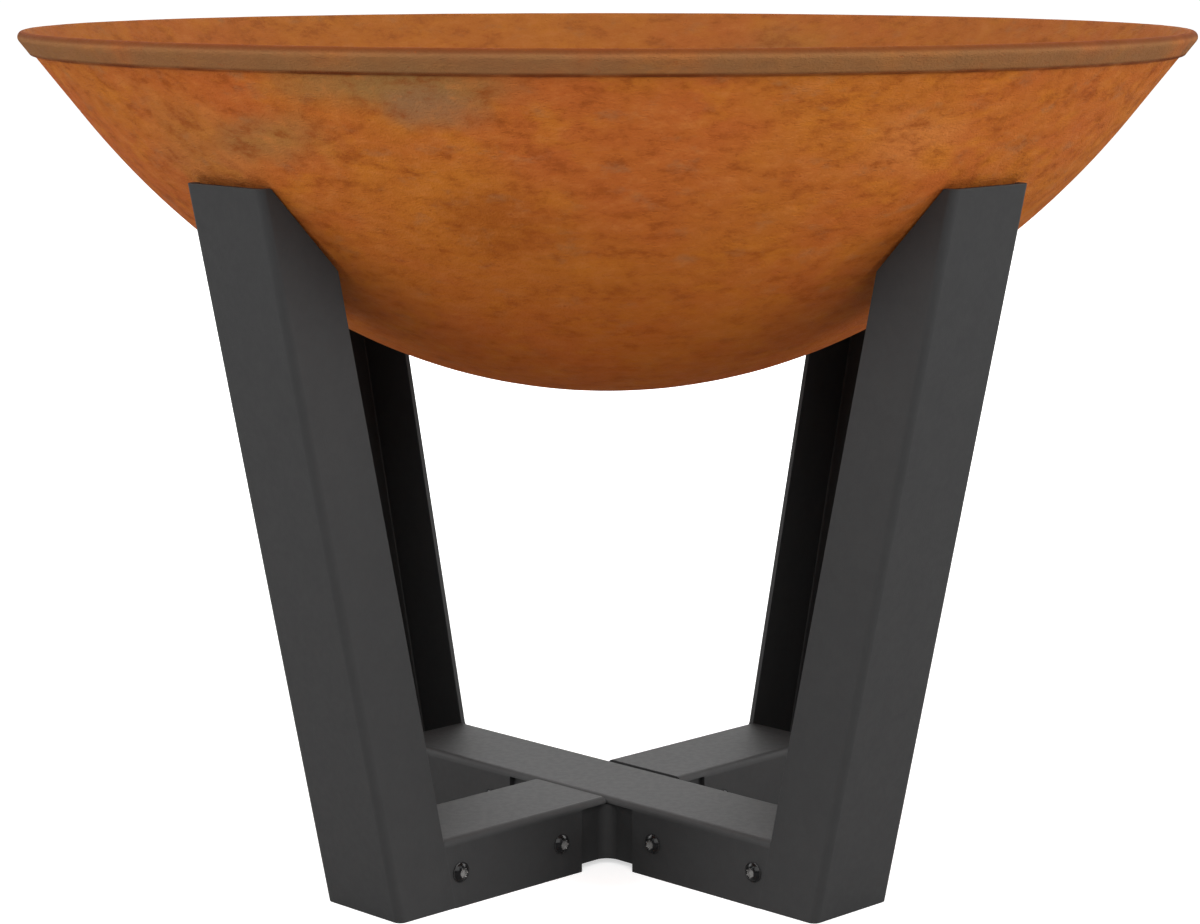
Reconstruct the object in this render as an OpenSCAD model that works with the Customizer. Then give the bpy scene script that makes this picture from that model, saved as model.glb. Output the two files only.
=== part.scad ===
// Fire pit: a shallow cast-iron bowl with a drop-in bar grate, resting in the
// slanted tops of four folded-steel legs on a low bolted cross.
// The origin is on the floor, under the centre of the bowl, with +Z up.

/* [Bowl] */
// Diameter of the bowl over its lip
bowl_d = 600; // [560:5:760]
// Thickness of the cast wall
bowl_wall = 5; // [4:0.5:8]
// Outer radius of the curve under the middle of the bowl
floor_arc_r = 290; // [260:5:320]
// Angle from the vertical axis at which the floor curve ends
floor_arc_deg = 26.5; // [22:0.5:32]
// Outer radius of the flatter curve up the side
side_arc_r = 404; // [360:4:440]
// Slope of the straight part of the wall
wall_deg = 52; // [48:0.5:55]
// Height of the lip band, from the top of the rim
lip_h = 10; // [6:1:16]
// How far the lip stands out from the wall
lip_proud = 1.5; // [0.5:0.5:3]
// Diameter of the drain hole in the middle of the floor
drain_d = 12; // [8:1:20]

/* [Stand] */
// Thickness of the folded sheet
sheet = 3; // [2:0.5:4]
// Outer radius of the sheet's bends
bend_r = 4; // [4:0.5:6]
// Width of the legs and of the cross beams
channel_w = 56; // [48:1:68]
// Height of the leg tops above the floor
leg_h = 368; // [300:2:450]
// Distance from the axis to a leg's outer face at the floor
leg_foot_r = 173; // [160:1:210]
// Outward lean of the legs
leg_lean_deg = 12.3; // [8:0.1:15]
// Depth of a leg, from its outer face to its open edges
leg_depth = 36.8; // [30:0.2:44]
// Level part of a leg's top, before the slant begins
leg_flat = 7; // [5:0.5:12]
// Slope of the slanted leg tops that carry the bowl
seat_deg = 46; // [42:0.5:50]
// Height of the cross beams
beam_h = 36.5; // [30:0.5:46]

/* [Cross joint] */
// Length of the side wall left open at each inner corner
corner_window = 18.5; // [12:0.5:24]
// Gap between the long beam and the side arms
seam_gap = 0.4; // [0.2:0.1:1]
// Inner radius of the corner brackets' bend
bracket_bend_r = 7.5; // [2:0.5:10]
// Height of the brackets' lower edge above the floor
bracket_lift = 3; // [1:0.5:10]
// How far a bracket runs on past its outer bolt
bracket_end = 12; // [9:1:16]
// Distance from an inner corner to its nearer bolts
bolt_near = 33.5; // [28:0.5:40]
// Distance from a leg's open edge to the farther bolts
bolt_leg_gap = 7.3; // [6.5:0.1:12]
// Thread diameter of the bolts
bolt_d = 6; // [5:1:6]

/* [Grate] */
// Diameter of the grate's ring, along the middle of its bar
ring_d = 390; // [320:5:470]
// Thickness of the ring bar
ring_bar_d = 10; // [8:1:12]
// Thickness of the grate bars
bar_d = 8; // [6:1:10]
// Distance between grate bars
bar_pitch = 30; // [24:1:36]
// Distance of the two cross bars from the middle
cross_offset = 95; // [70:5:120]
// Length of the grip of a lifting handle
handle_w = 90; // [70:5:110]
// Height of a lifting handle above the ring
handle_h = 36; // [28:1:45]
// Radius of a handle's bends, along the middle of its bar
handle_bend_r = 14; // [10:1:16]
// Clearance between pieces that rest on each other and lift apart
rest_gap = 0.3; // [0.2:0.1:0.5]

/* [Hidden] */
$fn = 96;
cast_rust = "#a5602f";
powder_black = "#3a3a3a";
dark_zinc = "#1c1c1e";
bar_steel = "#57504a";

round_step = 2;                       // degrees between points on a curve
nose_step = 15;                       // degrees between points round the lip's nose
cut_size = 1200;                      // larger than the object, for trimming
overrun = 1;                          // how far a cutting shape runs past a face
join = 0.01;                          // overlap that fuses touching shapes
leg_angles = [225, 315, 45, 135];     // front left, front right, back right, back left

// Bowl outline. An outline point lies on the outer curve, or inset inwards from
// it, and its height is measured from the lowest point of the bowl.
side_centre = [
    (floor_arc_r - side_arc_r) * sin(floor_arc_deg),
    floor_arc_r - (floor_arc_r - side_arc_r) * cos(floor_arc_deg)
];
nose_r = (bowl_wall + lip_proud) / 2;
nose_inset = (bowl_wall - lip_proud) / 2;
wall_dir = [cos(wall_deg), sin(wall_deg)];
wall_length = (bowl_d / 2 - nose_r - side_point(wall_deg, nose_inset)[0]) / wall_dir[0];
lip_length = (lip_h - nose_r) / wall_dir[1];
lip_step = 2;                         // length over which the lip fades into the wall

function floor_point(deg, inset) =
    [(floor_arc_r - inset) * sin(deg), floor_arc_r - (floor_arc_r - inset) * cos(deg)];
function side_point(deg, inset) =
    side_centre + (side_arc_r - inset) * [sin(deg), -cos(deg)];
function wall_point(along, inset) = side_point(wall_deg, inset) + along * wall_dir;

// Height of the outline at a radius
function outline_z(r, inset) =
    r <= floor_point(floor_arc_deg, inset)[0]
        ? floor_arc_r - sqrt(pow(floor_arc_r - inset, 2) - r * r)
        : r <= side_point(wall_deg, inset)[0]
            ? side_centre[1] - sqrt(pow(side_arc_r - inset, 2) - pow(r - side_centre[0], 2))
            : side_point(wall_deg, inset)[1] + (r - side_point(wall_deg, inset)[0]) * tan(wall_deg);

// Leg tops
lean_slope = tan(leg_lean_deg);
seat_slope = tan(seat_deg);
half_inside = channel_w / 2 - sheet;
leg_edge_r = leg_foot_r - leg_depth / cos(leg_lean_deg);
leg_top_r = leg_foot_r + leg_h * lean_slope;
web_inside_r = leg_top_r - sheet / cos(leg_lean_deg);
seat_start_r = leg_top_r - leg_flat;
seat_line_z = leg_h - seat_start_r * seat_slope;    // where the slant would meet the axis
seat_end_r = (leg_edge_r + seat_line_z * lean_slope) / (1 - seat_slope * lean_slope);
function seat_z(r) = leg_h - max(0, seat_start_r - r) * seat_slope;

// The bowl comes down until its underside meets the inner edges of the leg tops
seat_probe = 0.25;                    // distance between the places tried along an edge
bowl_z = rest_gap + max(concat(
    [for (r = [seat_end_r : seat_probe : web_inside_r]) seat_z(r) - outline_z(norm([r, half_inside]), 0)],
    [leg_h - outline_z(web_inside_r, 0)]
));

// Cross joint
half_beam = channel_w / 2;
window_r = half_beam + corner_window;
under_plate = beam_h - sheet;
bolt_z = beam_h / 2;
bolt_rs = [half_beam + bolt_near, leg_edge_r + bolt_z * lean_slope - bolt_leg_gap];
bracket_r = bolt_rs[1] + bracket_end;
bracket_top = beam_h - bend_r;        // below the inside of the beams' bends
hole_gap = 0.3;                       // clearance around a bolt in its hole
thread_gap = 0.05;                    // clearance around a bolt in its nut
bolt_head_d = bolt_d * 1.75;
bolt_head_h = bolt_d * 0.55;
bolt_socket_d = bolt_d * 0.76;        // across the corners of the hexagon
nut_d = bolt_d * 1.92;                // across the corners of the hexagon
nut_h = bolt_d * 0.83;
bolt_tip = 1;                         // how far a bolt runs on past its nut
bolt_length = 2 * sheet + nut_h + bolt_tip;

// Grate
ring_r = ring_d / 2;
grate_z = bowl_z + outline_z(ring_r, bowl_wall + ring_bar_d / 2 + rest_gap);
bar_z = grate_z + (ring_bar_d + bar_d) / 2;
cross_z = bar_z - bar_d;
bar_room = ring_r - 2 * ring_bar_d;   // how far from the middle a bar may lie
bar_count = 2 * floor(bar_room / bar_pitch + 1 / 2);
handle_x = sqrt(ring_r * ring_r - pow(handle_w / 2, 2));
handle_foot_z = grate_z + ring_bar_d / 2;

// A block that reaches from -depth to 0 along X, with its two corners at 0 rounded
module rounded_end(depth, width, r) {
    translate([-depth, -width / 2]) square([depth - r, width]);
    translate([-depth, r - width / 2]) square([depth, width - 2 * r]);
    for (side = [-1, 1]) translate([-r, side * (width / 2 - r)]) circle(r);
}

// Cross-section of a folded channel: its web at 0, its open side at -depth
module channel_section(depth) {
    difference() {
        rounded_end(depth, channel_w, bend_r);
        translate([-sheet, 0]) rounded_end(depth, channel_w - 2 * sheet, bend_r - sheet + join);
    }
}

// Everything beyond a sloping plane that starts on the X axis and leans outwards
module beyond_plane(start_r, lean_deg) {
    translate([start_r, 0, 0]) rotate([0, lean_deg, 0])
        translate([0, -cut_size / 2, -cut_size / 2]) cube(cut_size);
}

// One leg: an open channel facing the axis, cut level at the floor and slanted at the top
module leg() {
    color(powder_black) difference() {
        translate([leg_foot_r, 0, 0]) rotate([0, leg_lean_deg, 0])
            translate([0, 0, -channel_w]) linear_extrude(leg_h + 2 * channel_w) channel_section(leg_depth);
        translate([-cut_size / 2, -cut_size / 2, -cut_size]) cube(cut_size);
        translate([-cut_size / 2, -cut_size / 2, leg_h]) cube(cut_size);
        translate([seat_start_r, 0, leg_h]) rotate([0, -seat_deg, 0])
            translate([-cut_size, -cut_size / 2, 0]) cube(cut_size);
    }
}

// A length of beam along X, open side down
module beam_channel(start_r, end_r) {
    translate([end_r, 0, beam_h]) rotate([0, -90, 0])
        linear_extrude(end_r - start_r) channel_section(beam_h);
}

// Bolt holes through the side walls of one arm, which runs along X
module arm_bolt_holes() {
    for (r = bolt_rs) translate([r, 0, bolt_z]) rotate([90, 0, 0])
        cylinder(d = bolt_d + 2 * hole_gap, h = channel_w + sheet, center = true);
}

// Space under the top plate that the corner brackets pass through
module crossing_window() {
    translate([-window_r, -channel_w, -sheet]) cube([2 * window_r, 2 * channel_w, under_plate + sheet]);
}

// The long beam runs unbroken from leg to leg
module long_beam() {
    color(powder_black) difference() {
        beam_channel(-leg_foot_r, leg_foot_r);
        crossing_window();
        for (end = [0, 180]) rotate(end) {
            beyond_plane(leg_edge_r, leg_lean_deg);
            arm_bolt_holes();
        }
    }
}

// A side arm butts against the long beam
module side_arm() {
    color(powder_black) difference() {
        beam_channel(half_beam + seam_gap, leg_foot_r);
        crossing_window();
        beyond_plane(leg_edge_r, leg_lean_deg);
        arm_bolt_holes();
    }
}

// Children along the X arm of a corner, and their mirror image along its Y arm
module on_both_arms() {
    children();
    mirror([1, -1, 0]) children();
}

// A square block from start to reach along X and Y, its corner at start rounded
module rounded_corner(start, reach, r) {
    side = reach - start;
    translate([start + r, start]) square([side - r, side]);
    translate([start, start + r]) square([side, side - r]);
    translate([start + r, start + r]) circle(r);
}

// A bent plate behind the side walls of two arms, with its arms along +X and +Y
module corner_bracket() {
    color(powder_black) difference() {
        translate([0, 0, bracket_lift]) linear_extrude(bracket_top - bracket_lift) difference() {
            rounded_corner(half_inside - sheet, bracket_r, bracket_bend_r + sheet);
            rounded_corner(half_inside, bracket_r + overrun, bracket_bend_r);
        }
        on_both_arms() translate([0, half_beam, 0]) arm_bolt_holes();
    }
}

// A domed bolt with a hexagon socket, its head's underside at 0 and its shank towards -Z
module bolt() {
    dome_r = (pow(bolt_head_d / 2, 2) + bolt_head_h * bolt_head_h) / (2 * bolt_head_h);
    translate([0, 0, -bolt_length]) cylinder(d = bolt_d, h = bolt_length);
    difference() {
        intersection() {
            translate([0, 0, bolt_head_h - dome_r]) sphere(dome_r);
            cylinder(d = bolt_head_d, h = bolt_head_h);
        }
        translate([0, 0, bolt_head_h / 2]) cylinder(d = bolt_socket_d, h = bolt_head_h, $fn = 6);
    }
}

module nut() {
    difference() {
        cylinder(d = nut_d, h = nut_h, $fn = 6);
        translate([0, 0, -overrun]) cylinder(d = bolt_d + 2 * thread_gap, h = nut_h + 2 * overrun);
    }
}

// Places a part at each bolt of a corner: Z points out of the side wall, 0 on its outer face
module at_corner_bolts() {
    on_both_arms() for (r = bolt_rs) translate([r, half_beam, bolt_z]) rotate([-90, 0, 0]) children();
}

module corner_bolts() {
    color(dark_zinc) at_corner_bolts() bolt();
}

module corner_nuts() {
    color(dark_zinc) at_corner_bolts() translate([0, 0, -2 * sheet - nut_h]) nut();
}

// Shallow dish with a straight flared wall and a thickened, round-nosed lip
module fire_bowl() {
    outer = concat(
        [for (deg = [0 : round_step : floor_arc_deg]) floor_point(deg, 0)],
        [for (deg = [floor_arc_deg : round_step : wall_deg]) side_point(deg, 0)],
        [wall_point(0, 0), wall_point(wall_length - lip_length - lip_step, 0)],
        [wall_point(wall_length - lip_length, -lip_proud)]
    );
    nose_centre = wall_point(wall_length, nose_inset);
    nose = [
        for (turn = [-90 : nose_step : 90])
            nose_centre + nose_r * [cos(wall_deg + turn), sin(wall_deg + turn)]
    ];
    inner = concat(
        [for (deg = [wall_deg : -round_step : floor_arc_deg]) side_point(deg, bowl_wall)],
        [for (deg = [floor_arc_deg : -round_step : 0]) floor_point(deg, bowl_wall)],
        [floor_point(0, bowl_wall)]
    );
    color(cast_rust) translate([0, 0, bowl_z]) difference() {
        rotate_extrude($fn = 180) polygon(concat(outer, nose, inner));
        translate([0, 0, -bowl_wall]) cylinder(d = drain_d, h = 3 * bowl_wall);
    }
}

module grate_ring() {
    color(bar_steel) translate([0, 0, grate_z])
        rotate_extrude() translate([ring_r, 0]) circle(d = ring_bar_d);
}

// A bar along Y, centred, at a given X and height, reaching out to a given radius
module cross_rod(x, z, reach) {
    half = sqrt(reach * reach - x * x);
    translate([x, 0, z]) rotate([90, 0, 0]) cylinder(d = bar_d, h = 2 * half, center = true);
}

module grate_bars() {
    color(bar_steel) for (i = [0 : bar_count - 1])
        cross_rod((i - (bar_count - 1) / 2) * bar_pitch, bar_z, ring_r);
}

// Two bars under the others, between the inner sides of the ring
module grate_cross_bars() {
    color(bar_steel) rotate(90) for (side = [-1, 1]) {
        reach = ring_r - ring_bar_d / 2;
        half = sqrt(reach * reach - pow(cross_offset + bar_d / 2, 2));
        translate([side * cross_offset, 0, cross_z]) rotate([90, 0, 0])
            cylinder(d = bar_d, h = 2 * half, center = true);
    }
}

// A bent rod that stands on the ring, its grip along Y
module grate_handle() {
    straight = handle_h - bar_d / 2 - handle_bend_r;
    half_grip = handle_w / 2 - handle_bend_r;
    color(bar_steel) translate([handle_x, 0, handle_foot_z]) {
        for (side = [-1, 1]) {
            translate([0, side * handle_w / 2, 0]) cylinder(d = bar_d, h = straight);
            translate([0, side * half_grip, straight]) rotate([90, 0, 90])
                rotate_extrude(angle = 90, start = side > 0 ? 0 : 90)
                    translate([handle_bend_r, 0]) circle(d = bar_d);
        }
        translate([0, 0, handle_h - bar_d / 2]) rotate([90, 0, 0])
            cylinder(d = bar_d, h = 2 * half_grip, center = true);
    }
}

rotate(leg_angles[0]) leg();  // front_left_leg
rotate(leg_angles[1]) leg();  // front_right_leg
rotate(leg_angles[2]) leg();  // back_right_leg
rotate(leg_angles[3]) leg();  // back_left_leg
rotate(leg_angles[1]) long_beam();
rotate(leg_angles[0]) side_arm();  // front_left_arm
rotate(leg_angles[2]) side_arm();  // back_right_arm
rotate(leg_angles[0]) corner_bracket();  // front_corner_bracket
rotate(leg_angles[1]) corner_bracket();  // right_corner_bracket
rotate(leg_angles[2]) corner_bracket();  // back_corner_bracket
rotate(leg_angles[3]) corner_bracket();  // left_corner_bracket
rotate(leg_angles[0]) corner_bolts();  // front_corner_bolts
rotate(leg_angles[1]) corner_bolts();  // right_corner_bolts
rotate(leg_angles[2]) corner_bolts();  // back_corner_bolts
rotate(leg_angles[3]) corner_bolts();  // left_corner_bolts
rotate(leg_angles[0]) corner_nuts();  // front_corner_nuts
rotate(leg_angles[1]) corner_nuts();  // right_corner_nuts
rotate(leg_angles[2]) corner_nuts();  // back_corner_nuts
rotate(leg_angles[3]) corner_nuts();  // left_corner_nuts
fire_bowl();
grate_ring();
grate_bars();
grate_cross_bars();
rotate(180) grate_handle();  // grate_left_handle
grate_handle();  // grate_right_handle
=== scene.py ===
"""Looks of the fire pit: a rusted cast-iron bowl and its bar grate on a black folded-steel stand.

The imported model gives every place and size. The classes below build the finer shapes that stand
for its solids, dress each one in its finish, and set up a plain bright studio round them.
"""

import logging
import math
from dataclasses import dataclass, field
from enum import Enum

import bmesh
import bpy
from mathutils import Matrix, Vector


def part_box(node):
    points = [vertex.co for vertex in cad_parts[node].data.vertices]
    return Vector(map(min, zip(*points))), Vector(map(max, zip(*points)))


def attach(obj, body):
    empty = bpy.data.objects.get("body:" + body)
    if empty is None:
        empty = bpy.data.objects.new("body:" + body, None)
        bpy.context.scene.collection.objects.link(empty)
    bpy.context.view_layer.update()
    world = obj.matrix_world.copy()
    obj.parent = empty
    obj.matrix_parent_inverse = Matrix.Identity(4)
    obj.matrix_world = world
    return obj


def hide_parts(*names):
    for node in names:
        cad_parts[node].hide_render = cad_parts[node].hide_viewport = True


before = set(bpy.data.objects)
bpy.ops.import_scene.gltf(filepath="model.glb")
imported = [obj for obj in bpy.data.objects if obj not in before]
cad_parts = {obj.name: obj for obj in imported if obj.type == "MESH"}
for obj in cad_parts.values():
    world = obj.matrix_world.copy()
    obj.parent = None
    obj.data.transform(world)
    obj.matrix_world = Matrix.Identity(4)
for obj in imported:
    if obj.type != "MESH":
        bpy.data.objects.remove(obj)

log = logging.getLogger("fire_pit")

MM = 0.001
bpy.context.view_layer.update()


# ---------------------------------------------------------------------------------------------
# Node helpers
# ---------------------------------------------------------------------------------------------


class Graph:
    """A thin wrapper that adds nodes to a shader or geometry tree and links them by name."""

    def __init__(self, tree: bpy.types.NodeTree) -> None:
        """Wraps a tree.

        Args:
            tree: The node tree that new nodes go into.
        """
        self.tree = tree

    def add(self, kind: str, inputs: dict | None = None, **settings: object) -> bpy.types.Node:
        """Adds one node, sets its properties and fills or links its inputs.

        Args:
            kind: The node's class name.
            inputs: Input name or index to a value, or to a socket that feeds it.
            **settings: Node properties, such as operation or data_type.

        Returns:
            The new node.
        """
        node = self.tree.nodes.new(kind)
        for name, value in settings.items():
            setattr(node, name, value)
        for key, value in (inputs or {}).items():
            self.feed(node.inputs[key], value)
        return node

    def feed(self, socket: bpy.types.NodeSocket, value: object) -> None:
        """Links a socket to another one, or sets its plain value."""
        if isinstance(value, bpy.types.NodeSocket):
            self.tree.links.new(value, socket)
        else:
            socket.default_value = value

    def math(self, operation: str, *values: object, clamp: bool = False) -> bpy.types.NodeSocket:
        """Adds a Math node.

        Args:
            operation: The node's operation.
            *values: One to three numbers or sockets.
            clamp: Whether the result stays between 0 and 1.

        Returns:
            The node's output.
        """
        node = self.add("ShaderNodeMath", dict(enumerate(values)), operation=operation, use_clamp=clamp)
        return node.outputs[0]

    def vector(self, operation: str, *values: object) -> bpy.types.NodeSocket:
        """Adds a Vector Math node and returns its vector output."""
        node = self.add("ShaderNodeVectorMath", dict(enumerate(values)), operation=operation)
        return node.outputs["Vector"]

    def ramp(self, value: object, low: float, high: float, to_low: float = 0.0, to_high: float = 1.0):
        """Adds a smooth Map Range node.

        Args:
            value: The number or socket that is mapped.
            low: The value that maps to to_low.
            high: The value that maps to to_high.
            to_low: The result at low.
            to_high: The result at high.

        Returns:
            The node's output, kept between to_low and to_high.
        """
        numbers = {"Value": value, "From Min": low, "From Max": high, "To Min": to_low, "To Max": to_high}
        return self.add("ShaderNodeMapRange", numbers, interpolation_type="SMOOTHSTEP").outputs["Result"]

    def mix(self, amount: object, first: object, second: object) -> bpy.types.NodeSocket:
        """Mixes two colours, where amount 0 gives the first and 1 the second."""
        node = self.add("ShaderNodeMix", data_type="RGBA")
        for key, value in (("Factor_Float", amount), ("A_Color", first), ("B_Color", second)):
            self.feed(next(s for s in node.inputs if s.identifier == key), value)
        return next(s for s in node.outputs if s.identifier == "Result_Color")

    def noise(self, where: object, scale: object, detail: float = 3.0, rough: float = 0.55):
        """Adds a Noise Texture.

        Args:
            where: The coordinates that it reads.
            scale: Features for each metre.
            detail: How many finer layers lie over the first.
            rough: How strong the finer layers are.

        Returns:
            The node's value output.
        """
        inputs = {"Vector": where, "Scale": scale, "Detail": detail, "Roughness": rough}
        return self.add("ShaderNodeTexNoise", inputs).outputs[0]


def shader_group(name: str, sockets: dict[str, tuple[str, object]], outputs: dict[str, str]):
    """Makes an empty shader node group with named inputs and outputs.

    Args:
        name: The group's name.
        sockets: Input name to its socket type and default value.
        outputs: Output name to its socket type.

    Returns:
        The group's tree, its Graph, its input node and its output node.
    """
    tree = bpy.data.node_groups.new(name, "ShaderNodeTree")
    for title, (kind, value) in sockets.items():
        tree.interface.new_socket(title, in_out="INPUT", socket_type=kind).default_value = value
    for title, kind in outputs.items():
        tree.interface.new_socket(title, in_out="OUTPUT", socket_type=kind)
    graph = Graph(tree)
    return tree, graph, graph.add("NodeGroupInput"), graph.add("NodeGroupOutput")


class Effects:
    """Surface effects that several finishes share, each a shader node group that is built once."""

    _built: dict[str, bpy.types.NodeTree] = {}

    @classmethod
    def get(cls, name: str) -> bpy.types.NodeTree:
        """Returns the named effect, building it the first time."""
        if name not in cls._built:
            cls._built[name] = getattr(cls, f"_{name}")()
        return cls._built[name]

    @classmethod
    def place(cls, graph: Graph, name: str, inputs: dict) -> bpy.types.Node:
        """Puts an effect into a material.

        Args:
            graph: The material's graph.
            name: The effect's name.
            inputs: Its inputs by name.

        Returns:
            The group node.
        """
        node = graph.tree.nodes.new("ShaderNodeGroup")
        node.node_tree = cls.get(name)
        for key, value in inputs.items():
            graph.feed(node.inputs[key], value)
        return node

    @staticmethod
    def _grain() -> bpy.types.NodeTree:
        """Granular surface height and a fine mottle, as on sand castings and powder paint."""
        tree, graph, given, result = shader_group(
            "surface_grain",
            {
                "Vector": ("NodeSocketVector", (0.0, 0.0, 0.0)),
                "Size": ("NodeSocketFloat", 0.001),
                "Coarse": ("NodeSocketFloat", 0.3),
            },
            {"Height": "NodeSocketFloat", "Mottle": "NodeSocketFloat"},
        )
        scale = graph.math("DIVIDE", 1.0, given.outputs["Size"])
        fine = graph.noise(given.outputs["Vector"], scale, 2.0, 0.6)
        coarse_scale = graph.math("MULTIPLY", scale, 0.22)
        coarse = graph.noise(given.outputs["Vector"], coarse_scale, 3.0, 0.5)
        keep_fine = graph.math("SUBTRACT", 1.0, given.outputs["Coarse"])
        height = graph.math("MULTIPLY", fine, keep_fine)
        height = graph.math("MULTIPLY_ADD", coarse, given.outputs["Coarse"], height)
        graph.feed(result.inputs["Height"], height)
        graph.feed(result.inputs["Mottle"], graph.ramp(coarse, 0.3, 0.7))
        return tree

    @staticmethod
    def _patch() -> bpy.types.NodeTree:
        """A soft-edged blotch round a point, its border broken up by noise."""
        tree, graph, given, result = shader_group(
            "soft_patch",
            {
                "Vector": ("NodeSocketVector", (0.0, 0.0, 0.0)),
                "Centre": ("NodeSocketVector", (0.0, 0.0, 0.0)),
                "Reach": ("NodeSocketVector", (0.1, 0.1, 0.1)),
                "Ragged": ("NodeSocketFloat", 0.5),
            },
            {"Mask": "NodeSocketFloat"},
        )
        offset = graph.vector("SUBTRACT", given.outputs["Vector"], given.outputs["Centre"])
        shaped = graph.vector("DIVIDE", offset, given.outputs["Reach"])
        distance = graph.add("ShaderNodeVectorMath", {0: shaped}, operation="LENGTH").outputs["Value"]
        wave = graph.noise(given.outputs["Vector"], 22.0, 5.0, 0.62)
        wave = graph.math("SUBTRACT", wave, 0.5)
        wave = graph.math("MULTIPLY", wave, given.outputs["Ragged"])
        distance = graph.math("ADD", distance, graph.math("MULTIPLY", wave, 3.0))
        graph.feed(result.inputs["Mask"], graph.ramp(distance, 1.15, 0.25))
        return tree

    @staticmethod
    def _edge_wear() -> bpy.types.NodeTree:
        """Where a sharp edge is, by how far its rounded normal leaves the flat one."""
        tree, graph, given, result = shader_group(
            "edge_wear",
            {
                "Vector": ("NodeSocketVector", (0.0, 0.0, 0.0)),
                "Broken": ("NodeSocketFloat", 0.5),
            },
            {"Mask": "NodeSocketFloat"},
        )
        rounded = graph.add("ShaderNodeBevel", {"Radius": 0.0008}, samples=4).outputs["Normal"]
        flat = graph.add("ShaderNodeNewGeometry").outputs["Normal"]
        same = graph.add("ShaderNodeVectorMath", {0: rounded, 1: flat}, operation="DOT_PRODUCT")
        edge = graph.ramp(same.outputs["Value"], 0.995, 0.9)
        breaks = graph.ramp(graph.noise(given.outputs["Vector"], 160.0, 4.0, 0.6), 0.35, 0.65)
        breaks = graph.math("SUBTRACT", 1.0, graph.math("MULTIPLY", breaks, given.outputs["Broken"]))
        graph.feed(result.inputs["Mask"], graph.math("MULTIPLY", edge, breaks, clamp=True))
        return tree


Colour = tuple[float, float, float]


def rgba(colour: Colour) -> tuple[float, float, float, float]:
    """Adds full alpha to a linear colour."""
    return (*colour, 1.0)


# ---------------------------------------------------------------------------------------------
# Finishes
# ---------------------------------------------------------------------------------------------


class Finish:
    """Base of every finish: builds its material once and hands it out."""

    title = "finish"
    slot = ""
    _made: dict[str, bpy.types.Material] = {}

    def material(self) -> bpy.types.Material:
        """Returns this finish's material, building it the first time."""
        if self.title not in Finish._made:
            material = bpy.data.materials.new(self.title)
            material.use_nodes = True
            material.node_tree.nodes.clear()
            graph = Graph(material.node_tree)
            shader = graph.add("ShaderNodeBsdfPrincipled")
            output = graph.add("ShaderNodeOutputMaterial")
            graph.feed(output.inputs["Surface"], shader.outputs["BSDF"])
            where = graph.add("ShaderNodeTexCoord").outputs["Object"]
            self.wire(graph, shader, where)
            Finish._made[self.title] = material
        return Finish._made[self.title]

    def wire(self, graph: Graph, shader: bpy.types.Node, where: bpy.types.NodeSocket) -> None:
        """Connects the finish's pattern to the shader; each finish has its own."""
        raise NotImplementedError

    @staticmethod
    def bump(graph: Graph, shader: bpy.types.Node, height: object, depth: float, strength: float = 1.0):
        """Feeds a height to the shader's normal through a Bump node.

        Args:
            graph: The material's graph.
            shader: The Principled shader.
            height: The height's socket, from 0 to 1.
            depth: The height of 1, in metres.
            strength: How much of the bump is used.
        """
        node = graph.add("ShaderNodeBump", {"Height": height, "Distance": depth, "Strength": strength})
        graph.feed(shader.inputs["Normal"], node.outputs["Normal"])


@dataclass(frozen=True)
class Patch:
    """A blotch of another colour on the casting."""

    centre: tuple[float, float, float]
    reach: tuple[float, float, float]
    colour: Colour
    amount: float = 0.6
    ragged: float = 0.5


@dataclass(frozen=True)
class RimLine:
    """The circle that the middle of the lip's nose follows, and the lip's size."""

    radius: float
    height: float
    slope: float
    nose: float
    lip: float


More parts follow.
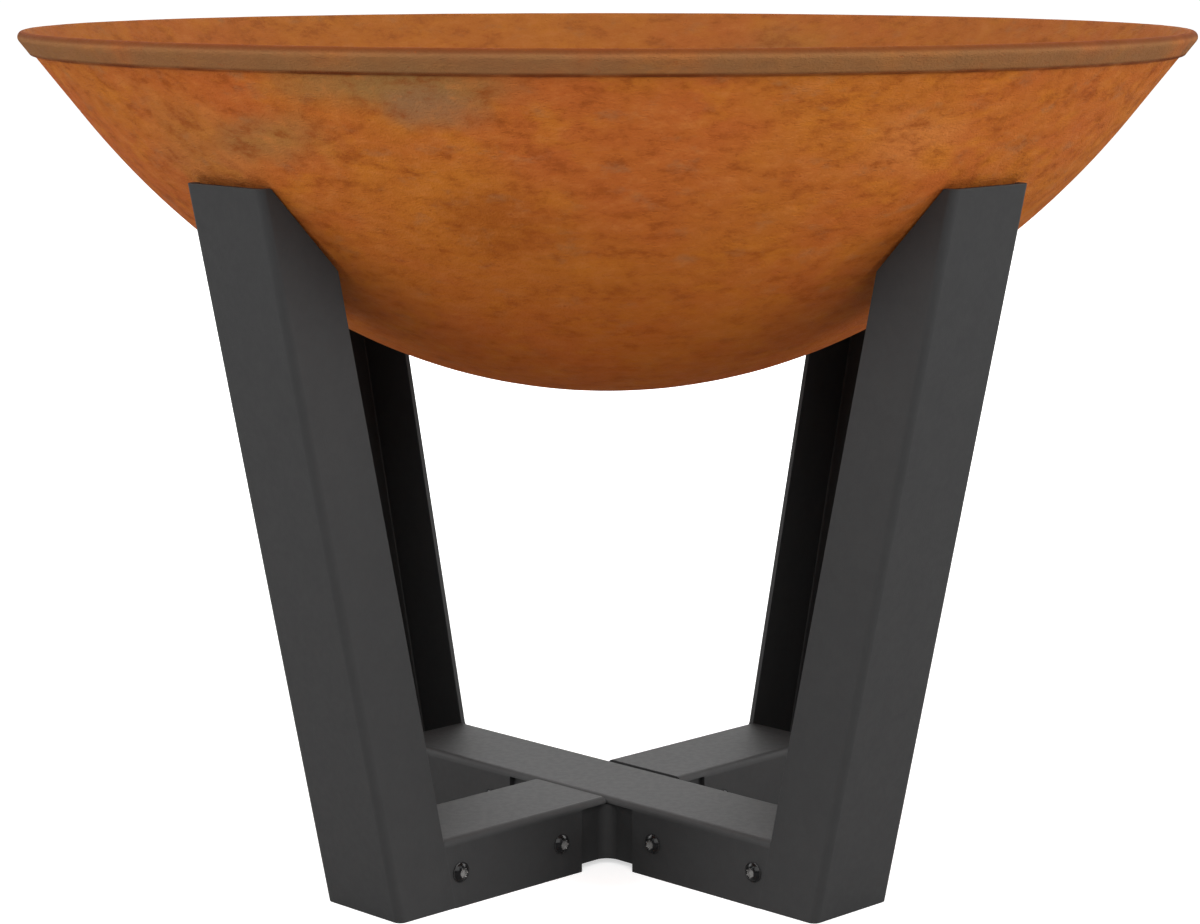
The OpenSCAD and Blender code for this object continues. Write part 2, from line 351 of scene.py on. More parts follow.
@dataclass(frozen=True)
class RustedCasting(Finish):
    """Raw cast iron under a coat of orange-brown rust, greyer on the lip, with blotches."""

    rim: RimLine
    title = "rusted_cast_iron"
    slot = "rusted_cast_iron"
    rust: Colour = (0.469, 0.140, 0.021)
    red_rust: Colour = (0.469, 0.116, 0.024)
    ochre: Colour = (0.520, 0.163, 0.020)
    pale: Colour = (0.579, 0.192, 0.046)
    dark_rust: Colour = (0.270, 0.058, 0.009)
    deep_red: Colour = (0.340, 0.066, 0.001)
    iron: Colour = (0.300, 0.145, 0.064)
    lip_iron: Colour = (0.225, 0.112, 0.046)
    khaki: Colour = (0.300, 0.155, 0.050)
    # Dark colour of the line below the lip band and of the painted shade on the nose's crest.
    dark_line_and_shade: Colour = (0.130, 0.028, 0.006)
    # Colour of the painted shade inside the bowl.
    soot_and_shade: Colour = (0.150, 0.066, 0.024)
    low_drop: tuple[float, float] = (0.04, 0.19)
    low_amount: float = 0.55
    # How dark the painted shade on the bowl's inside is.
    inner_shade_amount: float = 0.42

    def patches(self) -> tuple[Patch, ...]:
        """The blotches that weather has left, mostly towards the front."""
        return (
            Patch((-0.075, -0.25, 0.35), (0.055, 0.06, 0.05), self.ochre, 0.7),
            Patch((0.02, -0.25, 0.38), (0.06, 0.06, 0.05), self.red_rust, 0.7),
            Patch((-0.045, -0.235, 0.355), (0.035, 0.06, 0.022), self.dark_rust, 0.45, 0.8),
            Patch((-0.095, -0.27, 0.418), (0.07, 0.05, 0.013), self.khaki, 0.9, 0.5),
            Patch((-0.08, -0.27, 0.408), (0.03, 0.05, 0.012), self.iron, 0.8, 0.6),
            Patch((-0.15, -0.22, 0.392), (0.035, 0.05, 0.016), self.khaki, 0.6, 0.5),
            Patch((-0.19, -0.18, 0.38), (0.06, 0.06, 0.05), self.khaki, 0.3, 0.6),
            Patch((0.14, -0.235, 0.39), (0.035, 0.05, 0.02), self.pale, 0.6),
            Patch((0.15, -0.22, 0.383), (0.012, 0.04, 0.009), self.ochre, 0.8, 0.3),
            Patch((0.10, 0.26, 0.40), (0.06, 0.06, 0.03), self.khaki, 0.5),
            Patch((-0.24, 0.10, 0.38), (0.05, 0.06, 0.04), self.dark_rust, 0.4),
            Patch((0.22, 0.12, 0.33), (0.06, 0.06, 0.05), self.ochre, 0.6),
        )

    def wire(self, graph: Graph, shader: bpy.types.Node, where: bpy.types.NodeSocket) -> None:
        """Layers clouds, blotches, mottle and grain over the base rust."""
        flat = graph.vector("MULTIPLY", where, (1.0, 1.0, 1.9))
        clouds = graph.noise(where, 8.0, 4.0, 0.6)
        colour = graph.mix(graph.ramp(clouds, 0.36, 0.62), rgba(self.rust), rgba(self.red_rust))
        tint = graph.noise(graph.vector("ADD", flat, (3.1, 1.7, 0.4)), 38.0, 4.0, 0.62)
        colour = graph.mix(graph.ramp(tint, 0.48, 0.68, 0.0, 0.75), colour, rgba(self.ochre))
        colour = graph.mix(graph.ramp(tint, 0.45, 0.27, 0.0, 0.6), colour, rgba(self.red_rust))
        for patch in self.patches():
            place = {"Vector": where, "Centre": patch.centre, "Reach": patch.reach, "Ragged": patch.ragged}
            mask = Effects.place(graph, "patch", place).outputs["Mask"]
            colour = graph.mix(graph.math("MULTIPLY", mask, patch.amount), colour, rgba(patch.colour))
        greys = graph.noise(graph.vector("ADD", flat, (0.7, 5.3, 2.2)), 55.0, 5.0, 0.65)
        colour = graph.mix(graph.ramp(greys, 0.54, 0.76, 0.0, 0.55), colour, rgba(self.iron))
        mottle = graph.noise(flat, 70.0, 6.0, 0.7)
        colour = graph.mix(graph.ramp(mottle, 0.52, 0.3, 0.0, 0.7), colour, rgba(self.dark_rust))
        colour = graph.mix(graph.ramp(mottle, 0.5, 0.72, 0.0, 0.55), colour, rgba(self.pale))
        height = graph.add("ShaderNodeSeparateXYZ", {0: where}).outputs["Z"]
        low_from, low_to = (self.rim.height - drop for drop in self.low_drop)
        low = graph.ramp(height, low_from, low_to, 0.0, self.low_amount)
        colour = graph.mix(low, colour, rgba(self.deep_red))
        colour = self.lip(graph, where, colour)
        grain = Effects.place(graph, "grain", {"Vector": flat, "Size": 0.0014, "Coarse": 0.45})
        speck = graph.ramp(grain.outputs["Height"], 0.42, 0.28, 0.0, 0.6)
        colour = graph.mix(speck, colour, rgba(self.dark_rust))
        graph.feed(shader.inputs["Base Color"], colour)
        rough = graph.ramp(grain.outputs["Mottle"], 0.0, 1.0, 0.78, 0.92)
        graph.feed(shader.inputs["Roughness"], rough)
        shader.inputs["Specular IOR Level"].default_value = 0.06
        relief = graph.math("MULTIPLY_ADD", mottle, 0.9, grain.outputs["Height"])
        self.bump(graph, shader, relief, 0.0012, 0.9)

    def lip(self, graph: Graph, where: object, colour: object) -> bpy.types.NodeSocket:
        """Greyer iron on the lip band, a dark line below it, painted shade along the nose's crest, and
        painted shade on the upward faces inside the bowl.

        Args:
            graph: The material's graph.
            where: Object coordinates.
            colour: The colour so far.

        Returns:
            The colour with the lip on it.
        """
        rim = self.rim
        height = graph.add("ShaderNodeSeparateXYZ", {0: where}).outputs["Z"]
        height = graph.math("SUBTRACT", height, rim.height)
        across = graph.vector("MULTIPLY", where, (1.0, 1.0, 0.0))
        radius = graph.add("ShaderNodeVectorMath", {0: across}, operation="LENGTH").outputs["Value"]
        radius = graph.math("SUBTRACT", radius, rim.radius)
        run, rise = math.cos(rim.slope), math.sin(rim.slope)
        up = graph.math("MULTIPLY_ADD", radius, run, graph.math("MULTIPLY", height, rise))
        out = graph.math("MULTIPLY_ADD", radius, rise, graph.math("MULTIPLY", height, -run))
        wander = graph.noise(where, 14.0, 4.0, 0.6)
        outside = graph.ramp(out, -0.4 * rim.nose, 0.3 * rim.nose)
        band = graph.math("MULTIPLY", graph.ramp(up, -1.05 * rim.lip, -0.9 * rim.lip), outside)
        band = graph.math("MULTIPLY", band, graph.ramp(wander, 0.3, 0.55, 0.45, 0.85))
        # Painted shade: faces inside the bowl that look upward are darkened.
        facing = graph.add("ShaderNodeTexCoord").outputs["Normal"]
        facing = graph.add("ShaderNodeSeparateXYZ", {0: facing}).outputs["Z"]
        inside = graph.ramp(facing, 0.0, 0.4, 0.0, self.inner_shade_amount)
        painted_inner_shade = graph.math("MULTIPLY", graph.ramp(out, -0.2 * rim.nose, -0.7 * rim.nose), inside)
        colour = graph.mix(painted_inner_shade, colour, rgba(self.soot_and_shade))
        colour = graph.mix(band, colour, rgba(self.lip_iron))
        off = graph.math("ABSOLUTE", graph.math("ADD", up, 1.05 * rim.lip))
        line = graph.math("MULTIPLY", graph.ramp(off, 0.3 * rim.lip, 0.08 * rim.lip), outside)
        line = graph.math("MULTIPLY", line, graph.ramp(wander, 0.62, 0.42, 0.45, 0.95))
        colour = graph.mix(line, colour, rgba(self.dark_line_and_shade))
        # Painted shade along the crest of the lip's nose.
        painted_crest_shade = graph.ramp(up, 0.55 * rim.nose, 0.95 * rim.nose, 0.0, 0.75)
        return graph.mix(painted_crest_shade, colour, rgba(self.dark_line_and_shade))


@dataclass(frozen=True)
class PowderCoat(Finish):
    """Matt black powder paint on folded steel, finely textured, a little paler on worn edges."""

    title = "black_powder_coat"
    slot = "black_powder_coat"
    paint: Colour = (0.024, 0.024, 0.0245)
    dust: Colour = (0.031, 0.031, 0.031)
    worn: Colour = (0.07, 0.07, 0.071)

    def wire(self, graph: Graph, shader: bpy.types.Node, where: bpy.types.NodeSocket) -> None:
        """Fine orange-peel grain, faint cloudy dust, and rubbed edges."""
        grain = Effects.place(graph, "grain", {"Vector": where, "Size": 0.0008, "Coarse": 0.15})
        clouds = graph.ramp(graph.noise(where, 90.0, 5.0, 0.7), 0.3, 0.7, 0.0, 0.4)
        colour = graph.mix(clouds, rgba(self.paint), rgba(self.dust))
        wear = Effects.place(graph, "edge_wear", {"Vector": where, "Broken": 0.7})
        colour = graph.mix(graph.math("MULTIPLY", wear.outputs["Mask"], 0.2), colour, rgba(self.worn))
        graph.feed(shader.inputs["Base Color"], colour)
        rough = graph.ramp(grain.outputs["Mottle"], 0.0, 1.0, 0.54, 0.58)
        graph.feed(shader.inputs["Roughness"], rough)
        shader.inputs["Specular IOR Level"].default_value = 0.32
        self.bump(graph, shader, grain.outputs["Height"], 0.00012, 0.5)


@dataclass(frozen=True)
class BlackZinc(Finish):
    """Glossy black plating on the bolts and nuts, worn a little on edges, with a painted highlight of pale
    bare-metal grey inside the sockets.
    """

    title = "black_zinc"
    slot = "black_zinc"
    plating: Colour = (0.004, 0.004, 0.0045)
    # Pale bare-metal grey: light edge wear, and the painted highlight in the sockets.
    bare_and_glint: Colour = (0.22, 0.215, 0.21)
    edge_rub: float = 0.15
    # How much of the painted socket highlight shows.
    socket_glint: float = 0.9

    def wire(self, graph: Graph, shader: bpy.types.Node, where: bpy.types.NodeSocket) -> None:
        """Dark gloss with small smears in its roughness, and pale bare-metal grey inside the sockets as a
        painted highlight.
        """
        wear = Effects.place(graph, "edge_wear", {"Vector": where, "Broken": 0.9})
        rubbed_and_glint = graph.math("MULTIPLY", wear.outputs["Mask"], self.edge_rub)
        # Painted highlight: the socket faces turn pale bare-metal grey.
        socket = graph.add("ShaderNodeAttribute", attribute_name="socket").outputs["Fac"]
        rubbed_and_glint = graph.math("MAXIMUM", rubbed_and_glint, graph.math("MULTIPLY", socket, self.socket_glint))
        colour = graph.mix(rubbed_and_glint, rgba(self.plating), rgba(self.bare_and_glint))
        graph.feed(shader.inputs["Base Color"], colour)
        smear = graph.ramp(graph.noise(where, 420.0, 3.0, 0.6), 0.3, 0.7, 0.2, 0.32)
        graph.feed(shader.inputs["Roughness"], smear)
        shader.inputs["Specular IOR Level"].default_value = 0.16
        shader.inputs["Coat Weight"].default_value = 0.12
        shader.inputs["Coat Roughness"].default_value = 0.1


@dataclass(frozen=True)
class HeatedSteel(Finish):
    """Hot-rolled bar, dulled blue-brown by fire, with mill scale and freckles of rust."""

    title = "grate_steel"
    slot = "grate_steel"
    scale_grey: Colour = (0.085, 0.078, 0.074)
    heat_brown: Colour = (0.16, 0.098, 0.062)
    freckle: Colour = (0.30, 0.105, 0.032)
    soot_and_shade: Colour = (0.018, 0.017, 0.016)

    def wire(self, graph: Graph, shader: bpy.types.Node, where: bpy.types.NodeSocket) -> None:
        """Mill scale first, then heat tint, soot and rust freckles."""
        grain = Effects.place(graph, "grain", {"Vector": where, "Size": 0.0014, "Coarse": 0.5})
        tint = graph.ramp(graph.noise(where, 17.0, 4.0, 0.6), 0.35, 0.68)
        colour = graph.mix(tint, rgba(self.scale_grey), rgba(self.heat_brown))
        # The grate's soot is real, laid in noise clouds.
        soot_and_shade = graph.ramp(graph.noise(graph.vector("ADD", where, (5.0, 2.0, 1.0)), 9.0, 4.0, 0.6), 0.5, 0.75)
        colour = graph.mix(graph.math("MULTIPLY", soot_and_shade, 0.8), colour, rgba(self.soot_and_shade))
        rust = graph.ramp(graph.noise(where, 110.0, 5.0, 0.68), 0.55, 0.68, 0.0, 0.85)
        colour = graph.mix(rust, colour, rgba(self.freckle))
        graph.feed(shader.inputs["Base Color"], colour)
        metal = graph.ramp(rust, 0.0, 0.5, 0.75, 0.1)
        graph.feed(shader.inputs["Metallic"], metal)
        graph.feed(shader.inputs["Roughness"], graph.ramp(rust, 0.0, 0.6, 0.46, 0.85))
        self.bump(graph, shader, grain.outputs["Height"], 0.0004, 0.7)


# ---------------------------------------------------------------------------------------------
# Mesh helpers
# ---------------------------------------------------------------------------------------------


class Body(Enum):
    """The parts that move by themselves."""

    STAND = "stand"
    BOWL = "bowl"
    GRATE = "grate"


def hand_over(piece: bpy.types.Object, body: Body, *nodes: str) -> bpy.types.Object:
    """Lets a piece ride on a body and stand for solids of it.

    Args:
        piece: The finished piece.
        body: The body that carries it.
        *nodes: The solids that it replaces, if any.

    Returns:
        The piece.
    """
    if nodes:
        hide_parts(*nodes)
    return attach(piece, body.value)


def new_piece(name: str, mesh: bpy.types.Mesh, finish: Finish) -> bpy.types.Object:
    """Makes an object from a mesh and dresses it.

    Args:
        name: The piece's name.
        mesh: Its mesh, already in place.
        finish: Its finish.

    Returns:
        The new object, linked to the scene.
    """
    mesh.name = name
    piece = bpy.data.objects.new(name, mesh)
    bpy.context.scene.collection.objects.link(piece)
    mesh.materials.clear()
    mesh.materials.append(finish.material())
    return piece


def bake_modifiers(piece: bpy.types.Object) -> None:
    """Turns a piece's evaluated shape into its plain mesh and removes its modifiers."""
    evaluated = piece.evaluated_get(bpy.context.evaluated_depsgraph_get())
    mesh = bpy.data.meshes.new_from_object(evaluated)
    mesh.name = piece.name
    piece.modifiers.clear()
    piece.data = mesh


def shade(mesh: bpy.types.Mesh, sharp_deg: float) -> None:
    """Shades a mesh smooth, but for edges that turn by more than an angle."""
    mesh.shade_smooth()
    mesh.set_sharp_from_angle(angle=math.radians(sharp_deg))


def outward(mesh: bpy.types.Mesh) -> None:
    """Merges doubled points and turns every face outwards."""
    shape = bmesh.new()
    shape.from_mesh(mesh)
    bmesh.ops.remove_doubles(shape, verts=shape.verts, dist=1e-6)
    bmesh.ops.recalc_face_normals(shape, faces=shape.faces)
    shape.to_mesh(mesh)
    shape.free()


class GeometryTree:
    """A Geometry Nodes tree with named inputs that ends in Realize Instances and Set Material."""

    def __init__(self, name: str, sockets: dict[str, tuple[str, object]]) -> None:
        """Makes the tree with its inputs.

        Args:
            name: The tree's name.
            sockets: Input name to its socket type and value.
        """
        self.tree = bpy.data.node_groups.new(name, "GeometryNodeTree")
        self.values = {title: value for title, (_, value) in sockets.items()}
        faces = self.tree.interface
        faces.new_socket("Geometry", in_out="INPUT", socket_type="NodeSocketGeometry")
        faces.new_socket("Geometry", in_out="OUTPUT", socket_type="NodeSocketGeometry")
        self.keys = {
            title: faces.new_socket(title, in_out="INPUT", socket_type=kind).identifier
            for title, (kind, _) in sockets.items()
        }
        self.graph = Graph(self.tree)
        self.given = self.graph.add("NodeGroupInput").outputs

    def end(self, geometry: bpy.types.NodeSocket, finish: Finish) -> None:
        """Closes the tree after its last shape.

        Args:
            geometry: The geometry socket to finish.
            finish: The finish whose material is set.
        """
        real = self.graph.add("GeometryNodeRealizeInstances", {"Geometry": geometry})
        dressed = self.graph.add(
            "GeometryNodeSetMaterial", {"Geometry": real.outputs[0], "Material": finish.material()}
        )
        self.graph.add("NodeGroupOutput", {"Geometry": dressed.outputs[0]})

    def grow(self, piece: bpy.types.Object, changes: dict | None = None) -> None:
        """Runs the tree on a piece and keeps the result as a plain mesh.

        Args:
            piece: The object whose mesh is the tree's geometry.
            changes: Input values that differ from the tree's own.
        """
        modifier = piece.modifiers.new("shape", "NODES")
        modifier.node_group = self.tree
        for title, value in {**self.values, **(changes or {})}.items():
            modifier[self.keys[title]] = value
        bake_modifiers(piece)
        outward(piece.data)


# ---------------------------------------------------------------------------------------------
# Bowl
# ---------------------------------------------------------------------------------------------


@dataclass
class FireBowl:
    """The shallow casting: a curved floor, a flared wall, and a proud rounded lip."""

    rim_radius: float = 300 * MM
    wall: float = 5 * MM
    floor_arc_r: float = 290 * MM
    floor_arc_deg: float = 26.5
    side_arc_r: float = 404 * MM
    wall_deg: float = 52.0
    lip_height: float = 10 * MM
    lip_proud: float = 1.5 * MM
    lip_fade: float = 2.2 * MM
    drain_radius: float = 6 * MM
    rings: int = 360
    arc_step_deg: float = 1.0
    wall_step: float = 4 * MM
    undulation: float = 0.35 * MM
    seed: float = 4.0
    node: str = "fire_bowl"
    base_z: float = field(init=False)
    finish: RustedCasting = field(init=False)

    def __post_init__(self) -> None:
        """Reads the height of the bowl's lowest point from the frame and makes its finish."""
        self.base_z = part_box(self.node)[0].z
        nose_at = self.wall_point(self.wall_length, self.nose_inset)
        slope = math.radians(self.wall_deg)
        lip = (self.lip_height - self.nose_r) / math.sin(slope)
        self.finish = RustedCasting(RimLine(nose_at[0], self.base_z + nose_at[1], slope, self.nose_r, lip))

    @property
    def nose_r(self) -> float:
        """Radius of the lip's round nose."""
        return (self.wall + self.lip_proud) / 2

    @property
    def nose_inset(self) -> float:
        """How far the middle of the nose lies behind the wall's outer face."""
        return (self.wall - self.lip_proud) / 2

    @property
    def wall_length(self) -> float:
        """Length of the straight wall up to the middle of the nose."""
        start = self.side_point(self.wall_deg, self.nose_inset)[0]
        return (self.rim_radius - self.nose_r - start) / math.cos(math.radians(self.wall_deg))

    def floor_point(self, deg: float, inset: float) -> Vector:
        """A point of the floor curve, inset from the outer face, as radius and height."""
        turn = math.radians(deg)
        reach = self.floor_arc_r - inset
        return Vector((reach * math.sin(turn), self.floor_arc_r - reach * math.cos(turn)))

    def side_point(self, deg: float, inset: float) -> Vector:
        """A point of the flatter side curve, inset from the outer face."""
        change = self.floor_arc_r - self.side_arc_r
        start = math.radians(self.floor_arc_deg)
        turn = math.radians(deg)
        centre = Vector((change * math.sin(start), self.floor_arc_r - change * math.cos(start)))
        return centre + (self.side_arc_r - inset) * Vector((math.sin(turn), -math.cos(turn)))

    def wall_point(self, along: float, inset: float) -> Vector:
        """A point of the straight wall, so far up it and inset from its outer face."""
        slope = math.radians(self.wall_deg)
        return self.side_point(self.wall_deg, inset) + along * Vector((math.cos(slope), math.sin(slope)))

    def outline(self) -> list[Vector]:
        """The closed outline of the casting, from the drain hole up outside and down inside.

        Returns:
            Points as radius and height above the bowl's lowest point.
        """
        slope = math.radians(self.wall_deg)
        length = self.wall_length
        lip_start = length - self.finish.rim.lip

        def steps(start: float, end: float, step: float) -> list[float]:
            """Even stops from start to end, no further apart than step."""
            count = max(1, math.ceil(abs(end - start) / step))
            return [start + (end - start) * i / count for i in range(count + 1)]

        drain_deg = math.degrees(math.asin(self.drain_radius / self.floor_arc_r))
        rise = steps(drain_deg, self.floor_arc_deg, self.arc_step_deg)
        climb = steps(self.floor_arc_deg, self.wall_deg, self.arc_step_deg)
        outer = [self.floor_point(deg, 0) for deg in rise]
        outer += [self.side_point(deg, 0) for deg in climb[1:]]
        plain_end = lip_start - self.lip_fade
        outer += [self.wall_point(along, 0) for along in steps(0, plain_end, self.wall_step)[1:]]
        for share in (0.25, 0.5, 0.75):
            swell = self.lip_proud * (0.5 - 0.5 * math.cos(math.pi * share))
            outer.append(self.wall_point(lip_start - self.lip_fade * (1 - share), -swell))
        for along in steps(lip_start, length, self.wall_step / 2):
            outer.append(self.wall_point(along, -self.lip_proud))
        centre = self.wall_point(length, self.nose_inset)
        for turn in steps(-90, 90, 15)[1:-1]:
            angle = slope + math.radians(turn)
            outer.append(centre + self.nose_r * Vector((math.cos(angle), math.sin(angle))))
        inner = [self.wall_point(along, self.wall) for along in steps(length, 0, self.wall_step)]
        inner += [self.side_point(deg, self.wall) for deg in reversed(climb[:-1])]
        inner += [self.floor_point(deg, self.wall) for deg in reversed(rise[:-1])]
        return outer + inner

    def tree(self) -> GeometryTree:
        """The tree that sweeps the outline round the axis and gives it a cast unevenness."""
        made = GeometryTree(
            "swept_casting",
            {
                "Radius": ("NodeSocketFloat", self.rim_radius),
                "Rings": ("NodeSocketInt", self.rings),
                "Unevenness": ("NodeSocketFloat", self.undulation),
                "Seed": ("NodeSocketFloat", self.seed),
            },
        )
        graph, given = made.graph, made.given
        path = graph.add(
            "GeometryNodeCurvePrimitiveCircle",
            {"Resolution": given["Rings"], "Radius": given["Radius"]},
            mode="RADIUS",
        )
        outline = graph.add("GeometryNodeMeshToCurve", {"Mesh": given["Geometry"]})
        swept = graph.add(
            "GeometryNodeCurveToMesh",
            {"Curve": path.outputs["Curve"], "Profile Curve": outline.outputs["Curve"], "Fill Caps": False},
        )
        here = graph.add("GeometryNodeInputPosition").outputs[0]
        noise = graph.add(
            "ShaderNodeTexNoise",
            {"Vector": here, "W": given["Seed"], "Scale": 26.0, "Detail": 3.0, "Roughness": 0.55},
            noise_dimensions="4D",
        )
        depth = graph.math("MULTIPLY", noise.outputs[0], given["Unevenness"])
        normal = graph.add("GeometryNodeInputNormal").outputs[0]
        shift = graph.add("ShaderNodeVectorMath", {0: normal, "Scale": depth}, operation="SCALE")
        moved = graph.add(
            "GeometryNodeSetPosition", {"Geometry": swept.outputs[0], "Offset": shift.outputs["Vector"]}
        )
        made.end(moved.outputs[0], self.finish)
        return made

    def build(self) -> bpy.types.Object:
        """Builds the bowl in place.

        Returns:
            The finished piece, riding on the bowl's body.
        """
        points = self.outline()
        mesh = bpy.data.meshes.new("outline")
        at = [(p[0] - self.rim_radius, -p[1], 0.0) for p in points]
        edges = [(i, (i + 1) % len(points)) for i in range(len(points))]
        mesh.from_pydata(at, edges, [])
        piece = new_piece("fire_bowl_casting", mesh, self.finish)
        self.tree().grow(piece)
        piece.data.transform(Matrix.Translation((0, 0, self.base_z)))
        shade(piece.data, 40.0)
        return hand_over(piece, Body.BOWL, self.node)


# ---------------------------------------------------------------------------------------------
# Stand
# ---------------------------------------------------------------------------------------------


@dataclass
class FoldedSheet:
    """One piece of folded steel, with the sheet's edges eased as paint and deburring leave them."""

    node: str
    run_deg: float
    finish: Finish
    edge_radius: float = 0.45 * MM
    steps: int = 2
    sharp_deg: float = 35.0
    foot_r: float = 173 * MM
    leg_depth: float = 36.8 * MM
    lean_deg: float = 12.3
    beam_height: float = 36.5 * MM
    butt_r: float = 28.4 * MM
    near_enough: float = 0.05 * MM
    merge_gap: float = 0.002 * MM
    flat_deg: float = 0.5
    smooth_deg: float = 30.0

    def on_seam(self, edge: bmesh.types.BMEdge) -> bool:
        """Tells whether an edge closes up against a leg or against the long beam."""
        lean = math.radians(self.lean_deg)
        run = Vector((math.cos(math.radians(self.run_deg)), math.sin(math.radians(self.run_deg))))
        reaches = [abs(vert.co.xy.dot(run)) for vert in edge.verts]
        heights = [vert.co.z for vert in edge.verts]
        leg_line = self.foot_r - self.leg_depth / math.cos(lean)
        at_leg = all(
            abs(reach - height * math.tan(lean) - leg_line) < self.near_enough
            for reach, height in zip(reaches, heights)
        )
        at_beam = all(abs(reach - self.butt_r) < self.near_enough for reach in reaches)
        return (at_leg or at_beam) and max(heights) < self.beam_height + self.near_enough

    def build(self) -> bpy.types.Object:
        """Merges the solid's faces, rounds its edges and puts it in the solid's place.

        Returns:
            The finished piece, riding on the stand.
        """
        shape = bmesh.new()
        shape.from_mesh(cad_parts[self.node].data)
        bmesh.ops.remove_doubles(shape, verts=shape.verts, dist=self.merge_gap)
        everything = {"verts": shape.verts, "edges": shape.edges}
        bmesh.ops.dissolve_limit(shape, angle_limit=math.radians(self.flat_deg), **everything)
        bmesh.ops.bisect_plane(
            shape,
            geom=[*shape.verts, *shape.edges, *shape.faces],
            plane_co=(0, 0, self.beam_height),
            plane_no=(0, 0, 1),
        )
        eased = shape.edges.layers.float.new("bevel_weight_edge")
        for edge in shape.edges:
            is_sharp = edge.is_manifold and edge.calc_face_angle() > math.radians(self.sharp_deg)
            edge[eased] = float(is_sharp and not self.on_seam(edge))
        mesh = bpy.data.meshes.new(self.node)
        shape.to_mesh(mesh)
        shape.free()
        piece = new_piece(f"{self.node}_sheet", mesh, self.finish)
        bevel = piece.modifiers.new("eased_edges", "BEVEL")
        bevel.width = self.edge_radius
        bevel.segments = self.steps
        bevel.limit_method = "WEIGHT"
        bevel.use_clamp_overlap = True
        bake_modifiers(piece)
        shade(piece.data, self.smooth_deg)
        flat_faces = piece.modifiers.new("flat_faces", "WEIGHTED_NORMAL")
        flat_faces.keep_sharp = True
        flat_faces.weight = 100
        bake_modifiers(piece)
        return hand_over(piece, Body.STAND, self.node)


